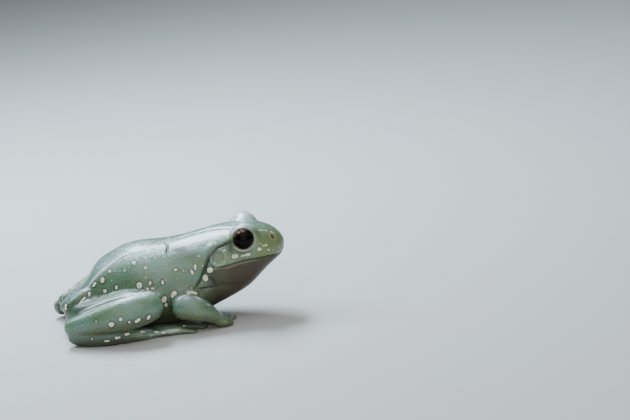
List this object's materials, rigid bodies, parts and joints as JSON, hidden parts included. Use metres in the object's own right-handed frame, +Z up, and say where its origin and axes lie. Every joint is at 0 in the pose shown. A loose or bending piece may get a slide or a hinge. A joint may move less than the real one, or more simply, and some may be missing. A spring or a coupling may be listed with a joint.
{
  "type": "tree frog",
  "caption": "Still, life-size tree frog sitting with folded legs: smooth green skin with pale dark-rimmed spots, brown throat, large dark eyes and disc-tipped toes.",
  "frame": {"origin": "on the floor, midway between the frog's left and right sides and midway between its snout tip and its left heel", "axes": "+Z up, the frog faces -Y, and its left side is +X"},
  "size_m": [0.0632, 0.0874, 0.0353],
  "materials": {
    "skin": "moist, softly glossy, grey-green with pale spots and a taupe throat",
    "eye": "wet, near black with golden brown flecks"
  },
  "bodies": {
    "root": {"trunk": "skin", "head": "skin", "lower_jaw": "skin", "eye_r": "eye", "eye_l": "eye", "ear_drum_r": "skin", "ear_drum_l": "skin", "upper_arm_r": "skin", "forearm_r": "skin", "hand_r": "skin", "finger_1_r": "skin", "finger_2_r": "skin", "finger_3_r": "skin", "finger_4_r": "skin", "thigh_r": "skin", "shank_r": "skin", "tarsus_r": "skin", "foot_r": "skin", "toe_1_r": "skin", "toe_2_r": "skin", "toe_3_r": "skin", "toe_4_r": "skin", "toe_5_r": "skin", "upper_arm_l": "skin", "forearm_l": "skin", "hand_l": "skin", "finger_1_l": "skin", "finger_2_l": "skin", "finger_3_l": "skin", "finger_4_l": "skin", "thigh_l": "skin", "shank_l": "skin", "tarsus_l": "skin", "foot_l": "skin", "toe_1_l": "skin", "toe_2_l": "skin", "toe_3_l": "skin", "toe_4_l": "skin", "toe_5_l": "skin"}
  },
  "joints": []
}
